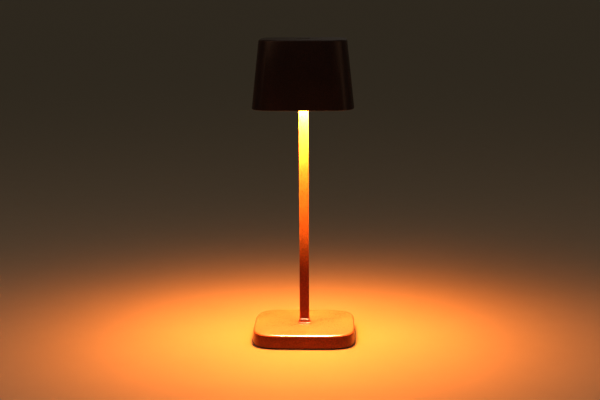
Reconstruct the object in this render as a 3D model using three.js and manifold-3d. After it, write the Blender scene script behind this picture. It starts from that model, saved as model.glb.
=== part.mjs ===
// A cordless table lamp: a rounded-square base with the battery and the charging port, a slim square
// stem, and a tapered rounded-square shade over a downward light with a push-button dimmer on top.
// Millimetres, +Z up, +Y towards the back, where the charging port is. The origin is on the table.

import * as THREE from 'three';
import { mergeVertices } from 'three/addons/utils/BufferGeometryUtils.js';
import { RoundedBoxGeometry } from 'three/addons/geometries/RoundedBoxGeometry.js';
import Module from 'manifold-3d';

// ---------- Driving dimensions ----------

const OVERALL_HEIGHT = 321;
const GAP = 0.3; // between pieces that touch or slide
const SEAT = 0.1; // under a piece that is soldered or glued down

const BASE_WIDTH = 109.5; // across the flats, at the bottom edge
const BASE_HEIGHT = 15;
const BASE_WALL = 1.6;
const BASE_EDGE = 2.4; // the round along the top edge
const BASE_DRAFT = THREE.MathUtils.degToRad(3);
const FOOT_PROUD = 1; // the pad holds the housing this far off the table

const SHADE_WIDTH_LOW = 106.5;
const SHADE_WIDTH_TOP = 91.5;
const SHADE_HEIGHT = 71;
const SHADE_WALL = 1.2;
const SHADE_EDGE = 2;
const LIGHT_DEPTH = 24; // from the shade's rim up to the diffuser

const STEM_WIDTH = 10;
const STEM_WALL = 1;
const STEM_EDGE = 1;
const COLLAR_WIDTH = 13.2;
const COLLAR_HEIGHT = 4.7;

const NIPPLE_RADIUS = 3; // the hollow threaded ends of the stem
const NIPPLE_BORE = 2;
const STEM_LEAD_RADIUS = 1.2;
const THIN_LEAD_RADIUS = 0.9;

const PORT_WINDOW_WIDTH = 19;
const PORT_WINDOW_HEIGHT = 6.4;
const SOCKET_WIDTH = 8.94; // a standard small charging receptacle
const SOCKET_HEIGHT = 3.26;
const SOCKET_DEPTH = 7.3;

const BOARD = { width: 32, depth: 25, thickness: 1.2 };

const BUTTON_RADIUS = 7;
const BUTTON_TRAVEL = 0.8;
const LED_COUNT = 8;

// ---------- Resolution ----------

const SQUARENESS = 4.8; // exponent of the rounded square: 2 is a circle, more is squarer
const SQUARE_STEPS = 72;
const ROUND_STEPS = 24;
const SCREW_STEPS = 12;
const EDGE_STEPS = 4;
const LEAD_SIDES = 8;
const LEAD_STEPS = 4; // between two points of a lead's route

// ---------- Materials ----------

const finish = (color, roughness, metalness) =>
  new THREE.MeshStandardMaterial({ color, roughness, metalness });
const basePaint = finish('#5c2a1d', 0.5, 0.3);
const shadePaint = finish('#1b1513', 0.5, 0.3);
const bareSteel = finish('#8f9296', 0.4, 0.9);
const brass = finish('#b08d4c', 0.35, 0.9);
const rubber = finish('#17181a', 0.85, 0);
const blackPlastic = finish('#202124', 0.6, 0);
const boardGreen = finish('#1f5a3a', 0.5, 0);
const boardWhite = finish('#e8e8e2', 0.5, 0);
const opal = finish('#f3ead8', 0.4, 0);
const phosphor = finish('#e8c04a', 0.5, 0);
const foil = finish('#9fb4c8', 0.4, 0.2);
const aluminium = finish('#c9cbcc', 0.35, 0.9);
const clearPlastic = finish('#dfe8ea', 0.1, 0);
const cableGrey = finish('#3c3d40', 0.6, 0);

// ---------- Geometry ----------

const wasm = await Module();
wasm.setup();

// A closed geometry as a solid that can be cut and joined.
function solid(geometry) {
  const bare = geometry.index ? geometry.toNonIndexed() : geometry.clone();
  bare.deleteAttribute('normal');
  bare.deleteAttribute('uv');
  const merged = mergeVertices(bare, 1e-4);
  return new wasm.Manifold(new wasm.Mesh({
    numProp: 3,
    vertProperties: merged.attributes.position.array,
    triVerts: new Uint32Array(merged.index.array),
  }));
}

function geometryOf(body) {
  const mesh = body.getMesh();
  const geometry = new THREE.BufferGeometry();
  geometry.setAttribute('position', new THREE.BufferAttribute(mesh.vertProperties, 3));
  geometry.setIndex(new THREE.BufferAttribute(mesh.triVerts, 1));
  geometry.computeVertexNormals();
  return geometry;
}

const cut = (geometry, ...tools) =>
  geometryOf(tools.reduce((body, tool) => body.subtract(solid(tool)), solid(geometry)));

const join = (geometry, ...others) =>
  geometryOf(others.reduce((body, other) => body.add(solid(other)), solid(geometry)));

// A round solid about +Z. Its [radius, height] points start and end on the axis or close on themselves.
function turned(points, steps = ROUND_STEPS) {
  const profile = points.map(([radius, height]) => new THREE.Vector2(radius, height));
  return new THREE.LatheGeometry(profile, steps).rotateX(Math.PI / 2);
}

// The same with a rounded-square section, where each radius is half a width.
function squared(points) {
  const bow = (share) => Math.sign(share) * Math.abs(share) ** (2 / SQUARENESS);
  const geometry = turned(points, SQUARE_STEPS);
  const position = geometry.attributes.position;
  for (let i = 0; i < position.count; i++) {
    const x = position.getX(i);
    const y = position.getY(i);
    const radius = Math.hypot(x, y);
    if (radius > 0) position.setXY(i, radius * bow(x / radius), radius * bow(y / radius));
  }
  return geometry;
}

// Points on a quarter-like arc in a profile, angles in degrees.
function arc(centre, radius, from, to, steps = EDGE_STEPS) {
  return Array.from({ length: steps + 1 }, (_, i) => {
    const angle = THREE.MathUtils.degToRad(THREE.MathUtils.lerp(from, to, i / steps));
    return [centre[0] + radius * Math.cos(angle), centre[1] + radius * Math.sin(angle)];
  });
}

const disc = (radius, low, high, steps) =>
  turned([[0, low], [radius, low], [radius, high], [0, high]], steps);

const ring = (outer, inner, low, high, steps) =>
  turned([[inner, low], [outer, low], [outer, high], [inner, high], [inner, low]], steps);

const box = (width, depth, low, high, x = 0, y = 0) =>
  new THREE.BoxGeometry(width, depth, high - low).translate(x, y, (low + high) / 2);

function roundedOutline(target, width, height, radius) {
  const x = width / 2 - radius;
  const y = height / 2 - radius;
  target.absarc(x, y, radius, 0, Math.PI / 2);
  target.absarc(-x, y, radius, Math.PI / 2, Math.PI);
  target.absarc(-x, -y, radius, Math.PI, 1.5 * Math.PI);
  target.absarc(x, -y, radius, 1.5 * Math.PI, 2 * Math.PI);
  target.closePath();
  return target;
}

// An upright prism with rounded corners, from low to high.
function roundedPrism(width, depth, radius, low, high, curveSegments = EDGE_STEPS) {
  const shape = roundedOutline(new THREE.Shape(), width, depth, radius);
  return new THREE.ExtrudeGeometry(shape, { depth: high - low, bevelEnabled: false, curveSegments })
    .translate(0, 0, low);
}

// A prism along Y, from near to far, rounded in its XZ section and centred at height z.
const backwardPrism = (width, height, radius, near, far, z) =>
  roundedPrism(width, height, radius, near, far).rotateX(Math.PI / 2).rotateZ(Math.PI).translate(0, 0, z);

// A pan-head screw along +Z: its head hangs below height 0, its shank rises, and it has a cross recess.
function screw({ headRadius, headHeight, shankRadius, length }) {
  const crown = headHeight * 0.45;
  const slot = headRadius * 0.32;
  const body = turned([
    [0, -headHeight], [headRadius * 0.7, -headHeight], [headRadius, -headHeight + crown], [headRadius, 0],
    [shankRadius, 0], [shankRadius, length - shankRadius], [0, length],
  ], SCREW_STEPS);
  const reach = headRadius * 1.1;
  const floor = -headHeight * 0.4;
  return cut(body, box(reach, slot, -headHeight - 1, floor), box(slot, reach, -headHeight - 1, floor));
}

const hexNut = (acrossFlats, bore, low, high) =>
  cut(disc(acrossFlats / Math.sqrt(3), low, high, 6), disc(bore, low - 1, high + 1));

// A smooth route with the same number of steps between any two of its points, so close points bend finely.
class Route extends THREE.CatmullRomCurve3 {
  getUtoTmapping(share) {
    return share;
  }
}

// A round lead through the given points.
function lead(points, radius) {
  const section = new THREE.Shape();
  section.absarc(0, 0, radius, 0, 2 * Math.PI);
  return new THREE.ExtrudeGeometry(section, {
    steps: LEAD_STEPS * (points.length - 1),
    extrudePath: new Route(points.map((point) => new THREE.Vector3(...point)), false, 'centripetal'),
    curveSegments: LEAD_SIDES / 2,
  });
}

const corners = (reach) => [[-reach, -reach], [reach, -reach], [reach, reach], [-reach, reach]];

// ---------- The lamp ----------

const lamp = new THREE.Group();

function add(name, geometry, material, x = 0, y = 0, z = 0) {
  const mesh = new THREE.Mesh(geometry, material);
  mesh.name = name;
  mesh.position.set(x, y, z);
  lamp.add(mesh);
  return mesh;
}

// ---------- Base ----------

const baseHalf = (z) => BASE_WIDTH / 2 - (z - FOOT_PROUD) * Math.tan(BASE_DRAFT);
const cavityTop = BASE_HEIGHT - BASE_WALL;

const padThickness = FOOT_PROUD + 0.4;
const plateLow = padThickness + GAP;
const plateTop = plateLow + 2;
const floorZ = plateTop + GAP; // the lowest that anything in the base stands

const postRadius = 3.5;
const postReach = BASE_WIDTH / 2 - BASE_WALL - 15.1;
const pilotTop = cavityTop - 1;
const counterboreTop = plateLow + 1.2;
const caseScrewLength = pilotTop - counterboreTop - 1.5;
const caseScrew = { headRadius: 2.8, headHeight: 1.25, shankRadius: 1.5, length: caseScrewLength };
const caseScrewHole = caseScrew.shankRadius + GAP;

const portZ = (2 * floorZ + PORT_WINDOW_HEIGHT) / 2;
const boardTop = portZ - SOCKET_HEIGHT / 2 - SEAT;
const boardLow = boardTop - BOARD.thickness;
const backWallOut = baseHalf(portZ);
const bezelFace = backWallOut - 0.4;
const bezelThickness = 3;
const bezelBack = bezelFace - bezelThickness;
const socketMouth = bezelBack - GAP;
const lensX = PORT_WINDOW_WIDTH / 2 + 6;
const lensRadius = 0.9;

function baseHousing() {
  const roundLow = BASE_HEIGHT - BASE_EDGE;
  const lean = THREE.MathUtils.radToDeg(BASE_DRAFT);
  const roundCentre = baseHalf(roundLow) - BASE_EDGE;
  const shell = squared([
    [0, cavityTop],
    [baseHalf(cavityTop) - BASE_WALL, cavityTop],
    [baseHalf(FOOT_PROUD) - BASE_WALL, FOOT_PROUD],
    [baseHalf(FOOT_PROUD), FOOT_PROUD],
    ...arc([roundCentre, roundLow], BASE_EDGE, lean, 90),
    [0, BASE_HEIGHT],
  ]);
  const posts = corners(postReach).map(([x, y]) =>
    disc(postRadius, floorZ, cavityTop + BASE_WALL / 2).translate(x, y, 0));
  const pilots = corners(postReach).map(([x, y]) => disc(caseScrewHole, 0, pilotTop).translate(x, y, 0));
  const inside = backWallOut - 8;
  const outside = backWallOut + 5;
  const window = backwardPrism(PORT_WINDOW_WIDTH, PORT_WINDOW_HEIGHT, 1.5, inside, outside, portZ);
  const lensHole = disc(lensRadius + GAP, -8, 5).rotateX(-Math.PI / 2).translate(lensX, backWallOut, portZ);
  const stemHole = disc(NIPPLE_RADIUS + GAP, cavityTop - 1, BASE_HEIGHT + 1);
  return cut(join(shell, ...posts), ...pilots, window, lensHole, stemHole);
}

const boardScrew = { headRadius: 1.9, headHeight: 1.2, shankRadius: 1, length: 2.8 };
const boardBack = socketMouth - 1.5;
const boardFront = boardBack - BOARD.depth;
const boardScrewPlaces = [-1, 1].map((side) => [side * (BOARD.width / 2 - 3), boardBack - 4.2]);

function basePlate() {
  const half = baseHalf(plateTop) - BASE_WALL - GAP;
  const plate = squared([[0, plateLow], [half, plateLow], [half, plateTop], [0, plateTop]]);
  const bosses = boardScrewPlaces.map(([x, y]) =>
    disc(2.5, plateTop - 1, boardLow - GAP).translate(x, y, 0));
  const blind = boardScrewPlaces.map(([x, y]) =>
    disc(boardScrew.shankRadius + GAP, boardTop - boardScrew.length - GAP, boardTop).translate(x, y, 0));
  const holes = corners(postReach).flatMap(([x, y]) => [
    disc(caseScrewHole, 0, plateTop + 1).translate(x, y, 0),
    disc(caseScrew.headRadius + GAP, 0, counterboreTop).translate(x, y, 0),
  ]);
  return cut(join(plate, ...bosses), ...blind, ...holes);
}

function footPad() {
  const half = baseHalf(FOOT_PROUD) - BASE_WALL - 2.2;
  const edge = 0.5;
  const pad = squared([
    [0, 0], [half - edge, 0], ...arc([half - edge, edge], edge, -45, 0, 1), [half, padThickness],
    [0, padThickness],
  ]);
  return cut(pad, ...corners(postReach).map(([x, y]) =>
    disc(caseScrew.headRadius + 2 * GAP, -1, padThickness + 1).translate(x, y, 0)));
}

add('base_housing', baseHousing(), basePaint);
add('base_plate', basePlate(), blackPlastic);
add('foot_pad', footPad(), rubber);
corners(postReach).forEach(([x, y], i) => {
  add(`base_screw_${i + 1}`, screw(caseScrew), bareSteel, x, y, counterboreTop - GAP);
});

// The battery lies across the front, the board at the back, and the ballast fills what is left.
const nutClear = 8;
const batteryBack = -nutClear - 3;
const batteryFront = -(baseHalf(cavityTop) - BASE_WALL - 9);
const batteryHalf = postReach - postRadius - 3.5;
const batteryTop = cavityTop - 1.4;
const boardBayFront = boardFront - 5;
const ballastTop = cavityTop - 2 * GAP;
const ballastHalf = baseHalf(BASE_HEIGHT) - BASE_WALL - 6.4;
const stemChannel = { x: -5.5, width: 8, top: floorZ + 2 * STEM_LEAD_RADIUS + 4 * GAP };
const batteryChannel = { x: nutClear + 6, width: 4, floor: ballastTop - 3.1 };

function ballastPlate() {
  const clear = (postRadius + 1) * Math.SQRT2;
  const flat = 2 * postReach - clear - ballastHalf; // where a chamfer that clears the posts starts
  const outline = new THREE.Shape([
    [flat, -ballastHalf], [ballastHalf, -flat], [ballastHalf, flat], [flat, ballastHalf],
    [-flat, ballastHalf], [-ballastHalf, flat], [-ballastHalf, -flat], [-flat, -ballastHalf],
  ].map((point) => new THREE.Vector2(...point)));
  const slab = new THREE.ExtrudeGeometry(outline, { depth: ballastTop - floorZ, bevelEnabled: false })
    .translate(0, 0, floorZ);
  const over = ballastTop + 1;
  const bayMiddle = batteryBack + 2 * GAP - BASE_WIDTH / 2;
  const batteryBay = box(2 * batteryHalf + 4 * GAP, BASE_WIDTH, 0, over, 0, bayMiddle);
  const boardBay = box(BOARD.width + 2, BASE_WIDTH, 0, over, 0, boardBayFront + BASE_WIDTH / 2);
  const across = boardBayFront + 2;
  return cut(slab, batteryBay, boardBay, disc(nutClear, 0, over),
    box(stemChannel.width, across, 0, stemChannel.top, stemChannel.x, across / 2),
    box(batteryChannel.width, BASE_WIDTH / 2, batteryChannel.floor, over, batteryChannel.x, 0));
}

const batteryHeight = batteryTop - floorZ;
const batteryDepth = batteryBack - batteryFront;
add('ballast_plate', ballastPlate(), bareSteel);
add('battery_pack', new RoundedBoxGeometry(2 * batteryHalf, batteryDepth, batteryHeight, 2, 1.5), foil,
  0, (batteryFront + batteryBack) / 2, floorZ + batteryHeight / 2);

// ---------- Charging board and port ----------

function chargeBoard() {
  const y = (boardFront + boardBack) / 2;
  return cut(box(BOARD.width, BOARD.depth, boardLow, boardTop, 0, y), ...boardScrewPlaces.map(([px, py]) =>
    disc(boardScrew.shankRadius + GAP, boardLow - 1, boardTop + 1).translate(px, py, 0)));
}

function chargingSocket() {
  const shell = 0.35;
  const back = socketMouth - SOCKET_DEPTH;
  const radius = SOCKET_HEIGHT / 2;
  const outside = backwardPrism(SOCKET_WIDTH, SOCKET_HEIGHT, radius - 0.02, back, socketMouth, portZ);
  const mouth = backwardPrism(SOCKET_WIDTH - 2 * shell, SOCKET_HEIGHT - 2 * shell, radius - shell - 0.02,
    back + 1, socketMouth + 1, portZ);
  const tongueDepth = SOCKET_DEPTH - 1.5;
  const tongue = box(6.6, tongueDepth, portZ - shell, portZ + shell, 0, back + tongueDepth / 2);
  return join(cut(outside, mouth), tongue);
}

// The bezel fills the window, with a pocket for the plug's cover and a slot in front of the socket.
const coverThickness = 1.1;
const pocketDepth = coverThickness + GAP;
const pocketWidth = PORT_WINDOW_WIDTH - 2 * GAP - 2;
const pocketHeight = PORT_WINDOW_HEIGHT - 2 * GAP - 1.2;
const slotWidth = SOCKET_WIDTH + 0.3;
const slotHeight = SOCKET_HEIGHT + 0.24;

function portBezel() {
  const width = PORT_WINDOW_WIDTH - 2 * GAP;
  const height = PORT_WINDOW_HEIGHT - 2 * GAP;
  const wallIn = baseHalf(portZ + PORT_WINDOW_HEIGHT / 2) - BASE_WALL;
  const body = backwardPrism(width, height, 1.4, bezelBack, bezelFace, portZ);
  const flange = backwardPrism(width + 3.6, height, 1.4, bezelBack, wallIn - GAP, portZ);
  const outside = bezelFace + 1;
  const pocket = backwardPrism(pocketWidth, pocketHeight, 1.1, bezelFace - pocketDepth, outside, portZ);
  const slot = backwardPrism(slotWidth, slotHeight, slotHeight / 2 - 0.02, bezelBack - 1, outside, portZ);
  return cut(join(body, flange), pocket, slot);
}

// The plug turns about the outer edge of its left end, so nothing behind that edge swings into the pocket.
function portPlug() {
  const cover = backwardPrism(pocketWidth - 2 * GAP, pocketHeight - 2 * GAP, 0.9,
    bezelFace - coverThickness, bezelFace, portZ);
  const tongue = backwardPrism(slotWidth - 0.84, slotHeight - 0.9, slotHeight / 2 - 0.5,
    bezelFace - coverThickness - 2, bezelFace - coverThickness / 2, portZ);
  return join(cover, tongue);
}

add('charge_board', chargeBoard(), boardGreen);
add('charging_socket', chargingSocket(), bareSteel);
add('port_bezel', portBezel(), blackPlastic);
add('port_plug', portPlug(), rubber);
add('charge_lens', disc(lensRadius, -6, -0.2, SCREW_STEPS).rotateX(-Math.PI / 2), clearPlastic,
  lensX, backWallOut, portZ);
boardScrewPlaces.forEach(([x, y], i) => {
  add(`board_screw_${i + 1}`, screw(boardScrew).rotateX(Math.PI), bareSteel, x, y, boardTop + SEAT);
});

const partLow = boardTop + SEAT;
const onBoard = ({ width, depth, height, x, y }) => box(width, depth, partLow, partLow + height, x, y);
const plugFront = boardFront + 1.5;
const leadPlug = { x: -8.5, y: plugFront + 2.5, width: 8, depth: 5, height: 3.6 };
const batteryPlug = { x: 8.5, y: plugFront + 2.3, width: 6, depth: 4.6, height: 3.2 };
const chip = { x: 6, y: plugFront + 10, width: 5, depth: 5, height: 1 };
const coil = { x: -8, y: plugFront + 11, width: 6, depth: 6, height: 3 };

add('lead_connector', onBoard(leadPlug), boardWhite);
add('battery_connector', onBoard(batteryPlug), boardWhite);
add('charge_chip', onBoard(chip), blackPlastic);
add('charge_coil', onBoard(coil), cableGrey);

const plugHeight = ({ height }) => partLow + height / 2; // the middle of a connector
const batteryLeadZ = batteryTop - THIN_LEAD_RADIUS - GAP;
const batteryLeadEnd = plugHeight(batteryPlug);
add('battery_lead', lead([
  [batteryChannel.x, batteryBack + SEAT, batteryLeadZ],
  [batteryChannel.x, batteryBack + 4, batteryLeadZ + 0.4],
  [batteryChannel.x, boardBayFront - 4, batteryLeadZ + 0.4],
  [batteryChannel.x - 0.6, boardBayFront + 0.4, batteryLeadZ + 0.2],
  [(batteryChannel.x + batteryPlug.x) / 2, boardBayFront + 3, (batteryLeadZ + batteryLeadEnd) / 2],
  [batteryPlug.x, plugFront - 1.6, batteryLeadEnd],
  [batteryPlug.x, plugFront - SEAT, batteryLeadEnd],
], THIN_LEAD_RADIUS), cableGrey);

// ---------- Head levels, which the stem reaches up to ----------

const shadeLow = OVERALL_HEIGHT - SHADE_HEIGHT;
const shadeTaper = (SHADE_WIDTH_LOW - SHADE_WIDTH_TOP) / 2 / SHADE_HEIGHT;
const shadeHalf = (z) => SHADE_WIDTH_LOW / 2 - (z - shadeLow) * shadeTaper;
const shadeIn = (z) => shadeHalf(z) - SHADE_WALL;

const diffuserLow = shadeLow + LIGHT_DEPTH;
const diffuserThickness = 2;
const ledBoardLow = diffuserLow + diffuserThickness + 5.1;
const ledBoardThickness = 1.6;
const ledBoardTop = ledBoardLow + ledBoardThickness;
const dishLow = ledBoardTop + GAP;
const dishThickness = 2;
const dishTop = dishLow + dishThickness;

// ---------- Stem ----------

const stemLow = BASE_HEIGHT + GAP;
const stemTop = dishLow - GAP;
const insertWidth = STEM_WIDTH - 2 * STEM_WALL - 2 * GAP;
const insertReach = 20;
const washer = { radius: 7, thickness: 0.8 };
const stemNut = { acrossFlats: 10, height: 2.4 };

function stemTube() {
  const inside = STEM_WIDTH - 2 * STEM_WALL;
  return cut(roundedPrism(STEM_WIDTH, STEM_WIDTH, STEM_EDGE, stemLow, stemTop),
    roundedPrism(inside, inside, STEM_EDGE / 2, stemLow - 1, stemTop + 1));
}

// A square plug in the tube's end that carries a hollow threaded nipple. Each span is [low, high].
function stemInsert(plug, nipple) {
  const low = Math.min(...plug, ...nipple);
  const high = Math.max(...plug, ...nipple);
  return cut(join(roundedPrism(insertWidth, insertWidth, 0.4, ...plug), disc(NIPPLE_RADIUS, ...nipple)),
    disc(NIPPLE_BORE, low - 1, high + 1));
}

// The flared foot that hides the joint: a loft of rounded squares, each [width, height above the base].
function stemCollar() {
  const opening = STEM_WIDTH + 2 * GAP;
  const top = opening + 1;
  const flare = (COLLAR_WIDTH - top) / 2;
  const straight = 0.7;
  const bevel = 0.8;
  const low = BASE_HEIGHT + SEAT;
  const rise = COLLAR_HEIGHT - straight - bevel;
  const levels = [
    [COLLAR_WIDTH, low], [COLLAR_WIDTH, low + straight],
    ...[1, 2, 3, 4].map((i) => {
      const turn = (i / 4) * (Math.PI / 2);
      return [COLLAR_WIDTH - 2 * flare * Math.sin(turn), low + straight + rise * (1 - Math.cos(turn))];
    }),
    [top - 0.5, low + COLLAR_HEIGHT],
  ];
  const slices = levels.slice(1).map(([width, z], i) => {
    const [widthBelow, zBelow] = levels[i];
    return taperedPrism(widthBelow, width, 1.6, zBelow, z);
  });
  const high = low + COLLAR_HEIGHT;
  return cut(join(...slices), roundedPrism(opening, opening, STEM_EDGE + GAP, low - 1, high + 1));
}

// A rounded-square prism whose width changes from low to high.
function taperedPrism(widthLow, widthHigh, radius, low, high) {
  const geometry = roundedPrism(widthLow, widthLow, radius, low, high);
  const position = geometry.attributes.position;
  for (let i = 0; i < position.count; i++) {
    const share = position.getZ(i) > (low + high) / 2 ? widthHigh / widthLow : 1;
    position.setXY(i, position.getX(i) * share, position.getY(i) * share);
  }
  return geometry;
}

const footWasherTop = cavityTop - GAP;
const footNutTop = footWasherTop - washer.thickness - GAP;
const footNippleLow = footNutTop - stemNut.height;
const headWasherLow = dishTop + GAP;
const headNutLow = headWasherLow + washer.thickness + GAP;
const headNippleTop = headNutLow + stemNut.height + 1;

add('stem_tube', stemTube(), basePaint);
add('stem_collar', stemCollar(), basePaint);
const nippleHole = NIPPLE_RADIUS + GAP;
const lowerPlug = [stemLow + GAP, stemLow + insertReach];
const upperPlug = [stemTop - insertReach, stemTop - GAP];
const washerAt = (low) => ring(washer.radius, nippleHole, low, low + washer.thickness);
const nutAt = (low) => hexNut(stemNut.acrossFlats, nippleHole, low, low + stemNut.height);
add('stem_foot_insert', stemInsert(lowerPlug, [footNippleLow, stemLow + 1]), brass);
add('foot_washer', washerAt(footWasherTop - washer.thickness), bareSteel);
add('foot_nut', nutAt(footNutTop - stemNut.height), bareSteel);
add('stem_head_insert', stemInsert(upperPlug, [stemTop - 1, headNippleTop]), brass);
add('head_washer', washerAt(headWasherLow), bareSteel);
add('head_nut', nutAt(headNutLow), bareSteel);

// The lead runs under the ballast, up the stem, and over into the light board.
const leadHoleY = 16;
const leadHoleRadius = 2.1;
const underBallast = floorZ + STEM_LEAD_RADIUS + GAP;
const stemLeadEnd = plugHeight(leadPlug);
const towardsNut = (share) => plugFront * (1 - share);
add('stem_lead', lead([
  [leadPlug.x, plugFront - SEAT, stemLeadEnd],
  [leadPlug.x, plugFront - 1.6, stemLeadEnd],
  [leadPlug.x + 0.6, towardsNut(0.2), underBallast + 0.2],
  [stemChannel.x, towardsNut(0.5), underBallast],
  [-2.6, towardsNut(0.82), underBallast],
  [-1, 1.9, underBallast + 0.2],
  [-0.2, 0.4, underBallast + 1.4],
  [0, 0, footNippleLow + 1.2],
  [0, 0, stemLow + 30],
  [0, 0, headNippleTop - 2],
  [0, 0.5, headNippleTop + 1],
  [0, 3.4, headNippleTop + 4.6],
  [0, 9, headNippleTop + 5.4],
  [0, leadHoleY - 2, headNippleTop + 2.6],
  [0, leadHoleY, dishTop + 1],
  [0, leadHoleY, ledBoardTop + SEAT],
], STEM_LEAD_RADIUS), cableGrey);

// ---------- Head ----------

const dishHalf = shadeIn(dishTop) - 1.1;
const dishWall = 1.6;
const bracketScrewX = 22;
const bracketScrew = { headRadius: 2.6, headHeight: 1.8, shankRadius: 1.5, length: 3.9 };
const ledScrew = { headRadius: 2, headHeight: 1.3, shankRadius: 1, length: 3.2 };
const ledScrewReach = 26;
const stemOpening = STEM_WIDTH + 2 * GAP;

function headDish() {
  const rim = diffuserLow + 0.6;
  const dish = squared([
    [0, dishLow], [dishHalf - dishWall, dishLow], [dishHalf - dishWall, rim], [dishHalf, rim],
    [dishHalf, dishTop - 1], [dishHalf - 1, dishTop], [0, dishTop],
  ]);
  const through = (radius, x, y) => disc(radius, dishLow - 1, dishTop + 1, SCREW_STEPS).translate(x, y, 0);
  return cut(dish, through(NIPPLE_RADIUS + GAP, 0, 0),
    ...[-1, 1].flatMap((side) => [
      through(bracketScrew.shankRadius + GAP, side * bracketScrewX, 0),
      through(leadHoleRadius, 0, side * leadHoleY),
    ]),
    ...corners(ledScrewReach).map(([x, y]) => through(ledScrew.shankRadius + GAP, x, y)));
}

function ledBoard() {
  const half = dishHalf - dishWall - 3.2;
  const board = squared([[0, ledBoardLow], [half, ledBoardLow], [half, ledBoardTop], [0, ledBoardTop]]);
  const low = ledBoardLow - 1;
  const high = ledBoardTop + 1;
  return cut(board, roundedPrism(stemOpening, stemOpening, STEM_EDGE + GAP, low, high),
    ...corners(ledScrewReach).map(([x, y]) =>
      disc(ledScrew.shankRadius + GAP, low, high, SCREW_STEPS).translate(x, y, 0)));
}

// An opal cup that snaps into the dish, open upwards, with a square hole for the stem.
function diffuser() {
  const half = dishHalf - dishWall - GAP;
  const wall = 1.4;
  const floor = diffuserLow + diffuserThickness;
  const rimTop = ledBoardLow - GAP;
  const edge = 0.6;
  const cup = squared([
    [0, diffuserLow], ...arc([half - edge, diffuserLow + edge], edge, -90, 0, 2), [half, rimTop],
    [half - wall, rimTop], [half - wall, floor], [0, floor],
  ]);
  return cut(cup, roundedPrism(stemOpening, stemOpening, STEM_EDGE + GAP, diffuserLow - 1, floor + 1));
}

add('head_dish', headDish(), aluminium);
add('led_board', ledBoard(), boardWhite);
add('diffuser', diffuser(), opal);
corners(ledScrewReach).forEach(([x, y], i) => {
  add(`led_board_screw_${i + 1}`, screw(ledScrew), bareSteel, x, y, ledBoardLow - SEAT);
});
for (let i = 0; i < LED_COUNT; i++) {
  const angle = ((i + 0.5) / LED_COUNT) * 2 * Math.PI;
  const ringRadius = ledScrewReach - 2;
  const chip = new THREE.BoxGeometry(3.5, 3.5, 0.8);
  const led = add(`led_${i + 1}`, chip, phosphor,
    ringRadius * Math.cos(angle), ringRadius * Math.sin(angle), ledBoardLow - SEAT - 0.4);
  led.rotation.z = angle;
}

// The button's body clamps the shade to a bracket that stands on the dish.
const wellRadius = 9.8;
const wellDepth = 1.2;
const wellFloor = OVERALL_HEIGHT - wellDepth;
const bodyRadius = BUTTON_RADIUS + 1;
const bodyHole = bodyRadius + GAP;
const bodyLow = OVERALL_HEIGHT - 11;
const bridgeTop = wellFloor - SHADE_WALL - GAP;
const bridgeThickness = 1.5;
const bridgeLow = bridgeTop - bridgeThickness;

function shade() {
  const roundLow = OVERALL_HEIGHT - SHADE_EDGE;
  const lean = THREE.MathUtils.radToDeg(Math.atan(shadeTaper));
  const ceiling = OVERALL_HEIGHT - SHADE_WALL;
  const shell = squared([
    [0, ceiling],
    [shadeIn(ceiling) - 1, ceiling],
    [shadeIn(ceiling - 1), ceiling - 1],
    [shadeIn(shadeLow), shadeLow],
    [shadeHalf(shadeLow), shadeLow],
    ...arc([shadeHalf(roundLow) - SHADE_EDGE, roundLow], SHADE_EDGE, lean, 90),
    [0, OVERALL_HEIGHT],
  ]);
  const wellWall = disc(wellRadius + SHADE_WALL, wellFloor - SHADE_WALL, ceiling + SHADE_WALL / 2);
  return cut(join(shell, wellWall), disc(wellRadius, wellFloor, OVERALL_HEIGHT + 1),
    disc(bodyHole, wellFloor - 5, OVERALL_HEIGHT));
}

function shadeBracket() {
  const leg = 16;
  const foot = bracketScrewX + 5;
  const low = dishTop + GAP;
  const inner = leg - bridgeThickness;
  const depth = 2 * bodyHole + 6;
  const outline = new THREE.Shape([
    [-foot, low], [-inner, low], [-inner, bridgeLow], [inner, bridgeLow], [inner, low], [foot, low],
    [foot, low + bridgeThickness], [leg, low + bridgeThickness], [leg, bridgeTop], [-leg, bridgeTop],
    [-leg, low + bridgeThickness], [-foot, low + bridgeThickness],
  ].map((p) => new THREE.Vector2(...p)));
  const strip = new THREE.ExtrudeGeometry(outline, { depth, bevelEnabled: false })
    .rotateX(Math.PI / 2).translate(0, depth / 2, 0);
  const screwHole = disc(bracketScrew.shankRadius + GAP, low - 1, low + 3, SCREW_STEPS);
  return cut(strip, disc(bodyHole, bridgeLow - 1, bridgeTop + 1),
    ...[-1, 1].map((side) => screwHole.clone().translate(side * bracketScrewX, 0, 0)));
}

add('shade', shade(), shadePaint);
add('shade_bracket', shadeBracket(), bareSteel);
[-1, 1].forEach((side, i) => {
  const seat = dishTop + bridgeThickness + 2 * GAP;
  add(`bracket_screw_${i + 1}`, screw(bracketScrew).rotateX(Math.PI), bareSteel, side * bracketScrewX, 0, seat);
});

// ---------- Dimmer button ----------

const capTop = OVERALL_HEIGHT - 0.3;
const capThickness = 1.8;
const capLow = capTop - capThickness;
const pocketFloor = capLow - BUTTON_TRAVEL - GAP;
const pocketWall = 2;
const pocketUnder = pocketFloor - pocketWall;
const plungerRadius = 3;
const lipRadius = 3.9; // snaps in under the pocket and keeps the button from coming out
const lipTop = pocketUnder - GAP;
const plungerLow = lipTop - 1.6;
const cavityRadius = bodyRadius - 1.4;
const switchBoardLow = bodyLow + GAP;
const switchBoardTop = switchBoardLow + 1;
const switchTop = plungerLow - BUTTON_TRAVEL - GAP;

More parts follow.
